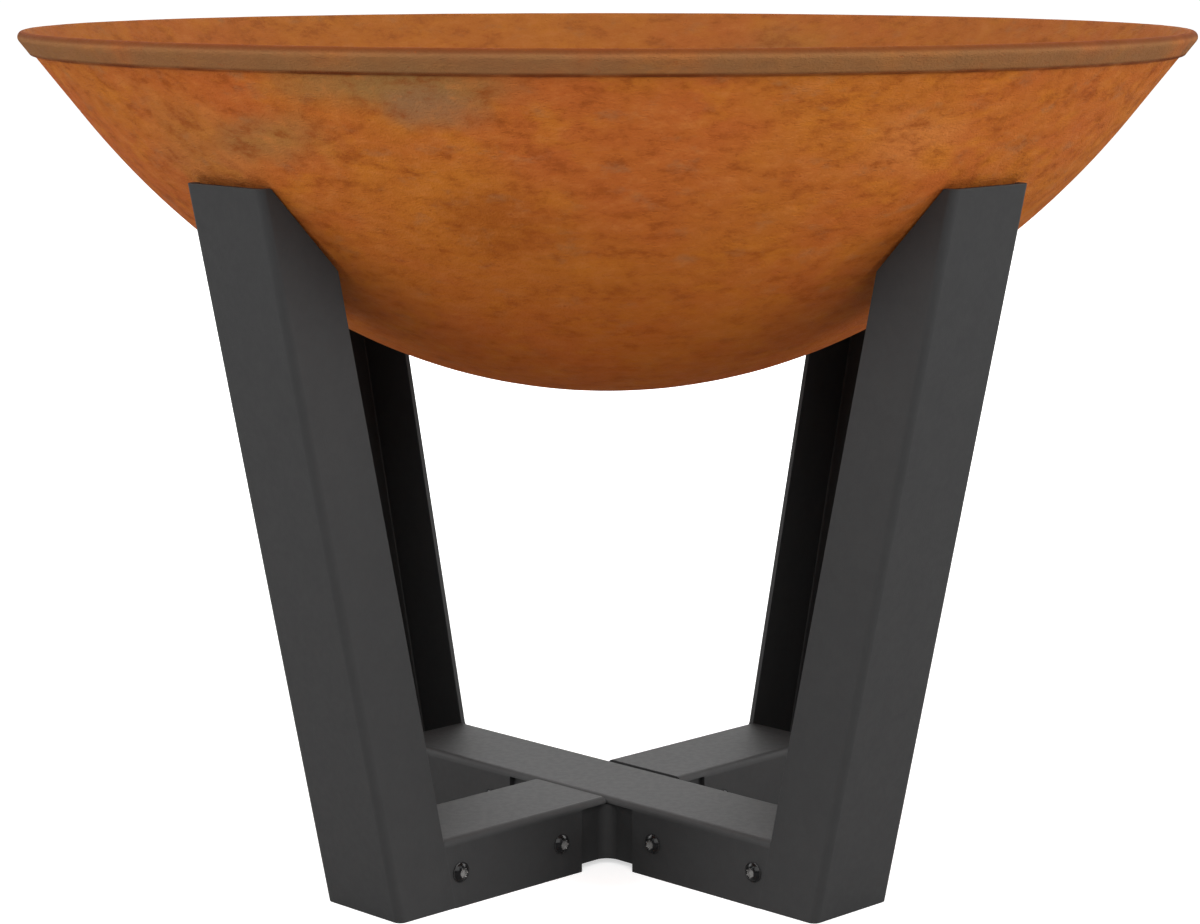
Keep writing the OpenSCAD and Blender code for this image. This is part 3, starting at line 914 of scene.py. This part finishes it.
@dataclass
class CornerFasteners:
    """The four bolts of one inner corner and the nuts behind them."""

    corner: str
    turn_deg: float
    finish: Finish
    face: float = 28 * MM
    near: float = 61.5 * MM
    far: float = 132.0 * MM
    height: float = 18.25 * MM
    sheet: float = 3 * MM
    thread_d: float = 6 * MM
    head_d: float = 10.5 * MM
    head_h: float = 3.3 * MM
    socket_d: float = 4.56 * MM
    socket_fit: float = 0.93
    socket_floor: float = 0.42
    socket_lead: float = 0.3 * MM
    nut_d: float = 11.5 * MM
    nut_h: float = 5 * MM
    tip: float = 1 * MM
    around: int = 48

    def tree(self) -> GeometryTree:
        """The tree that sets its geometry at the corner's four bolt places, Z outwards."""
        made = GeometryTree(
            "corner_fasteners",
            {
                "Face": ("NodeSocketFloat", self.face),
                "Near": ("NodeSocketFloat", self.near),
                "Far": ("NodeSocketFloat", self.far),
                "Height": ("NodeSocketFloat", self.height),
                "Turn": ("NodeSocketFloat", math.radians(self.turn_deg)),
            },
        )
        graph, given = made.graph, made.given
        apart = graph.math("SUBTRACT", given["Far"], given["Near"])
        quarter = math.pi / 2
        rows = (
            ((given["Near"], given["Face"]), (apart, 0.0), (-quarter, 0.0, 0.0)),
            ((given["Face"], given["Near"]), (0.0, apart), (0.0, quarter, 0.0)),
        )
        joined = graph.add("GeometryNodeJoinGeometry")
        for start, step, turn in rows:
            first = graph.add("ShaderNodeCombineXYZ", {0: start[0], 1: start[1], 2: given["Height"]})
            gap = graph.add("ShaderNodeCombineXYZ", {0: step[0], 1: step[1]})
            line = graph.add(
                "GeometryNodeMeshLine",
                {"Count": 2, "Start Location": first.outputs[0], "Offset": gap.outputs[0]},
                mode="OFFSET",
            )
            placed = graph.add(
                "GeometryNodeInstanceOnPoints",
                {"Points": line.outputs[0], "Instance": given["Geometry"], "Rotation": turn},
            )
            graph.tree.links.new(placed.outputs[0], joined.inputs[0])
        angle = graph.add("ShaderNodeCombineXYZ", {2: given["Turn"]})
        turned = graph.add(
            "GeometryNodeTransform", {"Geometry": joined.outputs[0], "Rotation": angle.outputs[0]}
        )
        made.end(turned.outputs[0], self.finish)
        return made

    def lathe(self, shape: bmesh.types.BMesh, outline: list[tuple[float, float]]) -> None:
        """Adds a closed round shape.

        Args:
            shape: The mesh that it goes into.
            outline: Radius and height points from axis to axis.
        """
        rows: list[list[bmesh.types.BMVert]] = []
        for radius, height in outline:
            if radius == 0:
                rows.append([shape.verts.new((0, 0, height))])
                continue
            turns = [2 * math.pi * i / self.around for i in range(self.around)]
            ring = [(radius * math.cos(turn), radius * math.sin(turn), height) for turn in turns]
            rows.append([shape.verts.new(point) for point in ring])
        for low, high in zip(rows, rows[1:]):
            for i in range(self.around):
                j = (i + 1) % self.around
                corners = [low[i % len(low)], low[j % len(low)], high[j % len(high)], high[i % len(high)]]
                shape.faces.new(list(dict.fromkeys(corners)))

    def hexagon(self, across: float, start: float) -> list[tuple[float, float]]:
        """Six corners of a hexagon, by its width across corners and its first angle."""
        turns = [start + math.pi / 3 * i for i in range(6)]
        return [(across / 2 * math.cos(a), across / 2 * math.sin(a)) for a in turns]

    def bolt(self) -> bpy.types.Mesh:
        """A button-head bolt: domed head with a hexagon socket, shank and thread ridges."""
        dome_r = ((self.head_d / 2) ** 2 + self.head_h**2) / (2 * self.head_h)
        socket_r = self.socket_d / 2 * 1.12
        shank = self.thread_d / 2
        length = 2 * self.sheet + self.nut_h + self.tip
        thread_from = self.sheet * 2
        outline: list[tuple[float, float]] = [(0, -length), (shank - 0.7 * MM, -length)]
        pitch = 1 * MM
        turns = int((length - thread_from) / pitch)
        for i in range(turns):
            low = -length + i * pitch
            outline += [(shank - 0.45 * MM, low + 0.3 * MM), (shank - 0.02 * MM, low + 0.7 * MM)]
        outline += [(shank, -thread_from), (shank, 0), (self.head_d / 2 - 0.25 * MM, 0)]
        rim = 0.5 * MM
        outline += [(self.head_d / 2, 0.2 * MM), (self.head_d / 2, rim)]
        top_z = self.head_h - dome_r
        for i in range(1, 9):
            radius = self.head_d / 2 + (socket_r - self.head_d / 2) * i / 8
            outline.append((radius, max(rim, top_z + math.sqrt(dome_r**2 - radius**2))))
        floor_z = self.head_h * self.socket_floor
        wall_r = self.socket_d / 2 * self.socket_fit
        outline += [(wall_r, outline[-1][1] - self.socket_lead), (wall_r, floor_z)]
        outline += [(0, floor_z - 0.4 * MM)]
        shape = bmesh.new()
        self.lathe(shape, outline)
        self.square_off(shape, floor_z)
        # Faces in the socket, which the plating finish paints with a highlight.
        in_socket = shape.faces.layers.float.new("socket")
        for face in shape.faces:
            middle = face.calc_center_median()
            face[in_socket] = float(middle.z > floor_z - rim and middle.xy.length < self.socket_d / 2)
        return self.closed(shape, "bolt")

    def square_off(self, shape: bmesh.types.BMesh, floor_z: float) -> None:
        """Pushes the round socket out to a hexagon."""
        for vert in shape.verts:
            radius = vert.co.xy.length
            if vert.co.z > floor_z - 0.1 * MM and 1e-6 < radius < self.socket_d / 2:
                angle = math.atan2(vert.co.y, vert.co.x)
                part = (angle + math.pi / 6) % (math.pi / 3) - math.pi / 6
                reach = self.socket_d / 2 * math.cos(math.pi / 6) / math.cos(part)
                vert.co.x = reach * math.cos(angle)
                vert.co.y = reach * math.sin(angle)

    def nut(self) -> bpy.types.Mesh:
        """A hexagon nut with chamfered corners and a countersunk thread."""
        bore = self.thread_d / 2 + 0.06 * MM
        flat = self.nut_d / 2 * math.cos(math.pi / 6)
        low = -2 * self.sheet - self.nut_h
        high = -2 * self.sheet
        chamfer = 0.6 * MM
        shape = bmesh.new()
        rows = (
            (bore, low + chamfer, 0.0), (bore + chamfer * 0.7, low, 0.0), (flat * 0.98, low, 0.0),
            (0.0, low + chamfer, 1.0), (0.0, high - chamfer, 1.0), (flat * 0.98, high, 0.0),
            (bore + chamfer * 0.7, high, 0.0), (bore, high - chamfer, 0.0),
        )
        loops = []
        for radius, height, is_hex in rows:
            loop = []
            for i in range(self.around):
                angle = 2 * math.pi * i / self.around
                part = (angle + math.pi / 6) % (math.pi / 3) - math.pi / 6
                reach = flat / math.cos(part) if is_hex else radius
                loop.append(shape.verts.new((reach * math.cos(angle), reach * math.sin(angle), height)))
            loops.append(loop)
        for low_row, high_row in zip(loops, loops[1:] + loops[:1]):
            for i in range(self.around):
                j = (i + 1) % self.around
                shape.faces.new((low_row[i], low_row[j], high_row[j], high_row[i]))
        return self.closed(shape, "nut")

    @staticmethod
    def closed(shape: bmesh.types.BMesh, name: str) -> bpy.types.Mesh:
        """Turns a closed shape's faces outwards and makes it a mesh."""
        bmesh.ops.recalc_face_normals(shape, faces=shape.faces)
        mesh = bpy.data.meshes.new(name)
        shape.to_mesh(mesh)
        shape.free()
        return mesh

    def build(self) -> list[bpy.types.Object]:
        """Builds the corner's bolts and nuts.

        Returns:
            The two finished pieces, riding on the stand.
        """
        made = []
        for kind, mesh in (("bolts", self.bolt()), ("nuts", self.nut())):
            node = f"{self.corner}_corner_{kind}"
            piece = new_piece(f"{node}_detailed", mesh, self.finish)
            self.tree().grow(piece)
            shade(piece.data, 32.0)
            made.append(hand_over(piece, Body.STAND, node))
        return made


# ---------------------------------------------------------------------------------------------
# Grate
# ---------------------------------------------------------------------------------------------


@dataclass
class Grate:
    """Round bars welded across a ring, with two bent lifting handles."""

    finish: Finish
    ring_bar_r: float = 5 * MM
    bar_r: float = 4 * MM
    pitch: float = 30 * MM
    bars: int = 12
    cross_offset: float = 95 * MM
    handle_w: float = 90 * MM
    handle_h: float = 36 * MM
    handle_bend_r: float = 14 * MM
    hammered: float = 0.35 * MM
    sides: int = 20
    step: float = 4 * MM
    bead_r: float = 2.7 * MM
    ring_r: float = field(init=False)
    ring_z: float = field(init=False)

    def __post_init__(self) -> None:
        """Reads the ring's size and height from the frame."""
        low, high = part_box("grate_ring")
        self.ring_r = (high.x - low.x) / 2 - self.ring_bar_r
        self.ring_z = (low.z + high.z) / 2

    @property
    def bar_z(self) -> float:
        """Height of the grate bars' middle."""
        return self.ring_z + self.ring_bar_r + self.bar_r

    @property
    def handle_x(self) -> float:
        """Distance of the handles from the middle."""
        return math.sqrt(self.ring_r**2 - (self.handle_w / 2) ** 2)

    @property
    def cross_half(self) -> float:
        """Half the length of a cross bar, between the inner sides of the ring."""
        reach = self.ring_r - self.ring_bar_r
        return math.sqrt(reach**2 - (self.cross_offset + self.bar_r) ** 2)

    def rod_sockets(self, bar_r: float, seed: float) -> dict[str, tuple[str, object]]:
        """The inputs that every tree of round bar shares."""
        return {
            "Bar Radius": ("NodeSocketFloat", bar_r),
            "Sides": ("NodeSocketInt", self.sides),
            "Step": ("NodeSocketFloat", self.step),
            "Hammered": ("NodeSocketFloat", self.hammered),
            "Seed": ("NodeSocketFloat", seed),
        }

    def hammer(self, graph: Graph, given: dict, geometry: bpy.types.NodeSocket) -> bpy.types.NodeSocket:
        """Dents a surface inwards by noise.

        Args:
            graph: The tree's graph.
            given: The tree's inputs.
            geometry: The geometry to dent.

        Returns:
            The dented geometry.
        """
        here = graph.add("GeometryNodeInputPosition").outputs[0]
        noise = graph.add(
            "ShaderNodeTexNoise",
            {"Vector": here, "W": given["Seed"], "Scale": 90.0, "Detail": 3.0, "Roughness": 0.6},
            noise_dimensions="4D",
        )
        depth = graph.math("MULTIPLY", noise.outputs[0], given["Hammered"])
        normal = graph.add("GeometryNodeInputNormal").outputs[0]
        depth = graph.math("MULTIPLY", depth, -1.0)
        shift = graph.add("ShaderNodeVectorMath", {0: normal, "Scale": depth}, operation="SCALE")
        moved = {"Geometry": geometry, "Offset": shift.outputs["Vector"]}
        return graph.add("GeometryNodeSetPosition", moved).outputs[0]

    def rod(self, graph: Graph, given: dict, curve: bpy.types.NodeSocket) -> bpy.types.NodeSocket:
        """Sweeps round bar along a curve and dents it.

        Args:
            graph: The tree's graph.
            given: The tree's inputs.
            curve: The curve that the bar follows.

        Returns:
            The bar's geometry.
        """
        even = graph.add(
            "GeometryNodeResampleCurve", {"Curve": curve, "Length": given["Step"]}, mode="LENGTH"
        )
        round_bar = {"Resolution": given["Sides"], "Radius": given["Bar Radius"]}
        profile = graph.add("GeometryNodeCurvePrimitiveCircle", round_bar, mode="RADIUS")
        swept = {"Curve": even.outputs[0], "Profile Curve": profile.outputs["Curve"], "Fill Caps": True}
        return self.hammer(graph, given, graph.add("GeometryNodeCurveToMesh", swept).outputs[0])

    def parallel_bars(self, seed: float) -> GeometryTree:
        """The tree of bars side by side, each as long as the ring is wide there."""
        made = GeometryTree(
            "bars_across_ring",
            {
                "Count": ("NodeSocketInt", self.bars),
                "Pitch": ("NodeSocketFloat", self.pitch),
                "Reach": ("NodeSocketFloat", self.ring_r),
                "Set In": ("NodeSocketFloat", 0.0),
                "Height": ("NodeSocketFloat", self.bar_z),
                "Turn": ("NodeSocketFloat", 0.0),
                **self.rod_sockets(self.bar_r, seed),
            },
        )
        graph, given = made.graph, made.given
        gaps = graph.math("SUBTRACT", given["Count"], 1.0)
        first = graph.math("MULTIPLY", graph.math("MULTIPLY", gaps, given["Pitch"]), -0.5)
        start = graph.add("ShaderNodeCombineXYZ", {0: first})
        gap = graph.add("ShaderNodeCombineXYZ", {0: given["Pitch"]})
        places = {"Count": given["Count"], "Start Location": start.outputs[0], "Offset": gap.outputs[0]}
        line = graph.add("GeometryNodeMeshLine", places, mode="OFFSET")
        here = graph.add("ShaderNodeSeparateXYZ", {0: graph.add("GeometryNodeInputPosition").outputs[0]})
        aside = graph.math("ADD", graph.math("ABSOLUTE", here.outputs["X"]), given["Set In"])
        square = graph.math("MULTIPLY", given["Reach"], given["Reach"])
        half = graph.math("SQRT", graph.math("SUBTRACT", square, graph.math("MULTIPLY", aside, aside)))
        unit = graph.add("GeometryNodeCurvePrimitiveLine", {"Start": (0, -1, 0), "End": (0, 1, 0)})
        size = graph.add("ShaderNodeCombineXYZ", {0: 1.0, 1: half, 2: 1.0})
        spread = {"Points": line.outputs[0], "Instance": unit.outputs[0], "Scale": size.outputs[0]}
        spread = graph.add("GeometryNodeInstanceOnPoints", spread)
        real = graph.add("GeometryNodeRealizeInstances", {"Geometry": spread.outputs[0]})
        bars = self.rod(graph, given, real.outputs[0])
        lift = graph.add("ShaderNodeCombineXYZ", {2: given["Height"]})
        turn = graph.add("ShaderNodeCombineXYZ", {2: given["Turn"]})
        placed = {"Geometry": bars, "Translation": lift.outputs[0], "Rotation": turn.outputs[0]}
        made.end(graph.add("GeometryNodeTransform", placed).outputs[0], self.finish)
        return made

    def bent_bar(self, bar_r: float, seed: float) -> GeometryTree:
        """The tree that sweeps bar along the path it is given."""
        made = GeometryTree("bar_along_path", self.rod_sockets(bar_r, seed))
        curve = made.graph.add("GeometryNodeMeshToCurve", {"Mesh": made.given["Geometry"]})
        made.end(self.rod(made.graph, made.given, curve.outputs["Curve"]), self.finish)
        return made

    def weld_beads(self, seed: int) -> GeometryTree:
        """The tree that sets a lumpy bead of weld at each point it is given."""
        made = GeometryTree(
            "weld_beads",
            {
                "Bead Radius": ("NodeSocketFloat", self.bead_r),
                "Hammered": ("NodeSocketFloat", 2 * self.hammered),
                "Seed": ("NodeSocketFloat", float(seed)),
            },
        )
        graph, given = made.graph, made.given
        ball = graph.add("GeometryNodeMeshIcoSphere", {"Radius": given["Bead Radius"], "Subdivisions": 3})
        sizes = graph.add("FunctionNodeRandomValue", {"Seed": seed}, data_type="FLOAT_VECTOR")
        graph.feed(sizes.inputs["Min"], (0.8, 0.8, 0.6))
        graph.feed(sizes.inputs["Max"], (1.0, 1.0, 0.8))
        spread = {"Points": given["Geometry"], "Instance": ball.outputs[0], "Scale": sizes.outputs[0]}
        spread = graph.add("GeometryNodeInstanceOnPoints", spread)
        real = graph.add("GeometryNodeRealizeInstances", {"Geometry": spread.outputs[0]})
        made.end(self.hammer(graph, given, real.outputs[0]), self.finish)
        return made

    def handle_path(self, side: int) -> list[Vector]:
        """The middle line of a handle, from foot to foot.

        Args:
            side: -1 for the left handle, 1 for the right one.

        Returns:
            The points along it.
        """
        foot = self.ring_z + self.ring_bar_r
        grip = self.handle_w / 2 - self.handle_bend_r
        bend_z = foot + self.handle_h - self.bar_r - self.handle_bend_r
        heights = [(self.handle_w / 2, foot)]
        for deg in range(0, 91, 10):
            turn = math.radians(deg)
            sideways = grip + self.handle_bend_r * math.cos(turn)
            heights.append((sideways, bend_z + self.handle_bend_r * math.sin(turn)))
        outline = [(-y, z) for y, z in heights] + list(reversed(heights))
        return [Vector((side * self.handle_x, y, z)) for y, z in outline]

    def ring_path(self, points: int = 96) -> list[Vector]:
        """The middle line of the ring, back to its start."""
        turns = [2 * math.pi * i / points for i in range(points)]
        return [Vector((self.ring_r * math.cos(a), self.ring_r * math.sin(a), self.ring_z)) for a in turns]

    def weld_points(self) -> list[Vector]:
        """Where bars cross the ring, cross bars meet bars and ring, and handles stand."""
        points = []
        middle = (self.bars - 1) / 2
        on_ring = self.ring_z + 0.85 * self.ring_bar_r
        for x in ((i - middle) * self.pitch for i in range(self.bars)):
            end = math.sqrt(self.ring_r**2 - x**2)
            for side in (-1, 1):
                for edge in (-self.bar_r, self.bar_r):
                    points.append(Vector((x + edge, side * (end - self.bar_r / 2), on_ring)))
                    points.append(Vector((x + edge / 2, side * self.cross_offset, self.bar_z - self.bar_r)))
        for side in (-1, 1):
            for end in (-1, 1):
                height = self.bar_z - 2 * self.bar_r
                points.append(Vector((side * self.cross_half, end * self.cross_offset, height)))
                for around in (-1, 1):
                    foot = end * (self.handle_w / 2 - around * self.bar_r)
                    points.append(Vector((side * self.handle_x, foot, on_ring)))
        return points

    @staticmethod
    def path_mesh(points: list[Vector], closed: bool = False) -> bpy.types.Mesh:
        """A mesh whose edges join points in order, round to the first if closed."""
        mesh = bpy.data.meshes.new("path")
        edges = [(i, i + 1) for i in range(len(points) - 1)]
        if closed:
            edges.append((len(points) - 1, 0))
        mesh.from_pydata(points, edges, [])
        return mesh

    def piece(self, name: str, tree: GeometryTree, path: bpy.types.Mesh, changes: dict, *nodes: str):
        """Grows one piece of the grate.

        Args:
            name: The piece's name.
            tree: The tree that shapes it.
            path: The mesh that the tree works on.
            changes: Input values that differ from the tree's own.
            *nodes: The solids that it replaces.

        Returns:
            The finished piece, riding on the grate.
        """
        made = new_piece(name, path, self.finish)
        tree.grow(made, changes)
        shade(made.data, 50.0)
        return hand_over(made, Body.GRATE, *nodes)

    def build(self) -> list[bpy.types.Object]:
        """Builds the ring, the bars, the handles and the welds.

        Returns:
            The finished pieces.
        """
        bars = self.parallel_bars(1.0)
        across = {
            "Count": 2,
            "Pitch": 2 * self.cross_offset,
            "Reach": self.ring_r - self.ring_bar_r,
            "Set In": self.bar_r,
            "Height": self.bar_z - 2 * self.bar_r,
            "Turn": math.pi / 2,
            "Seed": 2.0,
        }
        ring = self.path_mesh(self.ring_path(), closed=True)
        made = [
            self.piece("grate_ring_forged", self.bent_bar(self.ring_bar_r, 3.0), ring, {}, "grate_ring"),
            self.piece("grate_bars_hammered", bars, self.path_mesh([]), {}, "grate_bars"),
            self.piece("grate_cross_bars_hammered", bars, self.path_mesh([]), across, "grate_cross_bars"),
        ]
        bent = self.bent_bar(self.bar_r, 4.0)
        for name, side in (("left", -1), ("right", 1)):
            path = self.path_mesh(self.handle_path(side))
            node = f"grate_{name}_handle"
            made.append(self.piece(f"{node}_bent", bent, path, {"Seed": 5.0 + side}, node))
        welds = self.path_mesh(self.weld_points())
        made.append(self.piece("grate_weld_beads", self.weld_beads(7), welds, {}))
        return made


# ---------------------------------------------------------------------------------------------
# Studio
# ---------------------------------------------------------------------------------------------


@dataclass(frozen=True)
class SoftBox:
    """A rectangular soft light that faces the object."""

    name: str
    at: tuple[float, float, float]
    size: tuple[float, float]
    power: float
    aim: tuple[float, float, float] = (0.0, 0.0, 0.25)

    def build(self) -> bpy.types.Object:
        """Adds the light.

        Returns:
            The light's object, unseen by the camera itself.
        """
        data = bpy.data.lights.new(self.name, "AREA")
        data.shape = "RECTANGLE"
        data.size, data.size_y = self.size
        data.energy = self.power
        light = bpy.data.objects.new(self.name, data)
        light.location = self.at
        towards = Vector(self.aim) - Vector(self.at)
        light.rotation_euler = towards.to_track_quat("-Z", "Y").to_euler()
        light.visible_camera = False
        bpy.context.scene.collection.objects.link(light)
        return light


@dataclass
class Studio:
    """A pale floor, an even white surround, soft boxes and the camera."""

    camera_at: tuple[float, float, float] = (0.0, -1.6476, 0.4844)
    camera_pitch_deg: float = 9.514
    camera_yaw_deg: float = 0.133
    focal_mm: float = 94.94
    sensor_mm: float = 36.0
    floor_size: float = 60.0
    floor_glow: tuple[float, float] = (0.6, 1.0)
    floor_reach: tuple[float, float] = (0.5, 1.3)
    floor_white: float = 0.8
    floor_bounce: float = 0.5
    sky: float = 0.1
    boxes: tuple[SoftBox, ...] = (
        SoftBox("side_left", (-2.6, -1.1, 0.9), (1.4, 1.2), 32.0),
        SoftBox("side_right", (2.6, -1.1, 0.9), (1.4, 1.2), 39.0),
        SoftBox("key_left", (-1.9, -1.3, 2.6), (1.4, 1.4), 12.0),
        SoftBox("key_right", (1.9, -1.3, 2.6), (1.4, 1.4), 14.0),
        SoftBox("front", (0.0, -2.4, 2.0), (2.4, 2.4), 60.0),
        SoftBox("back_low", (0.0, 3.0, 1.1), (3.4, 1.4), 16.0),
        SoftBox("back_high", (0.0, 3.2, 2.2), (3.4, 1.6), 34.0),
        SoftBox("wing_left", (-2.6, 1.6, 2.3), (2.0, 1.6), 46.0),
        SoftBox("wing_right", (2.6, 1.6, 2.3), (2.0, 1.6), 46.0),
    )

    def build(self) -> None:
        """Sets up everything round the object."""
        self.camera()
        self.floor()
        self.surround()
        for box in self.boxes:
            box.build()
        bpy.context.scene.view_settings.view_transform = "Standard"

    def camera(self) -> None:
        """Adds the camera: a long lens a little above the rim, looking slightly down."""
        data = bpy.data.cameras.new("camera")
        data.lens = self.focal_mm
        data.sensor_width = self.sensor_mm
        data.clip_end = 2 * self.floor_size
        camera = bpy.data.objects.new("camera", data)
        camera.location = self.camera_at
        tilt = math.radians(90 - self.camera_pitch_deg)
        camera.rotation_euler = (tilt, 0.0, math.radians(self.camera_yaw_deg))
        bpy.context.scene.collection.objects.link(camera)
        bpy.context.scene.camera = camera

    def floor(self) -> None:
        """Adds a wide pale floor that reads as white paper and bounces light softly."""
        half = self.floor_size / 2
        corners = [(-half, -half, 0), (half, -half, 0), (half, half, 0), (-half, half, 0)]
        mesh = bpy.data.meshes.new("studio_floor")
        mesh.from_pydata(corners, [], [(0, 1, 2, 3)])
        floor = bpy.data.objects.new("studio_floor", mesh)
        bpy.context.scene.collection.objects.link(floor)
        material = bpy.data.materials.new("studio_floor")
        material.use_nodes = True
        material.node_tree.nodes.clear()
        graph = Graph(material.node_tree)
        white, bounce = (rgba((v, v, v)) for v in (self.floor_white, self.floor_bounce))
        paper = graph.add("ShaderNodeBsdfDiffuse", {"Color": white})
        where = graph.add("ShaderNodeTexCoord").outputs["Object"]
        away = graph.add("ShaderNodeVectorMath", {0: where}, operation="LENGTH").outputs["Value"]
        strength = graph.ramp(away, *self.floor_reach, *self.floor_glow)
        glow = graph.add("ShaderNodeEmission", {"Strength": strength})
        lit = graph.add("ShaderNodeAddShader", {0: paper.outputs[0], 1: glow.outputs[0]})
        dull = graph.add("ShaderNodeBsdfDiffuse", {"Color": bounce})
        seen = graph.add("ShaderNodeLightPath").outputs["Is Camera Ray"]
        mixed = graph.add("ShaderNodeMixShader", {0: seen, 1: dull.outputs[0], 2: lit.outputs[0]})
        graph.add("ShaderNodeOutputMaterial", {"Surface": mixed.outputs[0]})
        mesh.materials.append(material)

    def surround(self) -> None:
        """Adds a surround that looks white and lights the object only faintly."""
        world = bpy.data.worlds.new("studio")
        world.use_nodes = True
        graph = Graph(world.node_tree)
        seen = graph.add("ShaderNodeLightPath").outputs["Is Camera Ray"]
        strength = graph.ramp(seen, 0.0, 1.0, self.sky, 1.0)
        back = world.node_tree.nodes["Background"]
        back.inputs["Color"].default_value = (1, 1, 1, 1)
        graph.feed(back.inputs["Strength"], strength)
        bpy.context.scene.world = world


def main() -> None:
    """Builds every sub-assembly in order and reports each piece."""
    logging.basicConfig(level=logging.INFO, format="%(message)s")
    coat = PowderCoat()
    zinc = BlackZinc()
    pieces = [FireBowl().build()]
    sides = {"front_left": 225.0, "front_right": 315.0, "back_right": 45.0, "back_left": 135.0}
    runs = {f"{side}_leg": turn for side, turn in sides.items()}
    runs |= {"long_beam": 315.0, "front_left_arm": 225.0, "back_right_arm": 45.0}
    corners = {"front": 225.0, "right": 315.0, "back": 45.0, "left": 135.0}
    runs |= {f"{corner}_corner_bracket": turn for corner, turn in corners.items()}
    for node, turn in runs.items():
        pieces.append(FoldedSheet(node, turn, coat).build())
    for corner, turn in corners.items():
        pieces += CornerFasteners(corner, turn, zinc).build()
    pieces += Grate(HeatedSteel()).build()
    Studio().build()
    for piece in pieces:
        log.info("%s: %d faces", piece.name, len(piece.data.polygons))


if __name__ == "__main__":
    main()
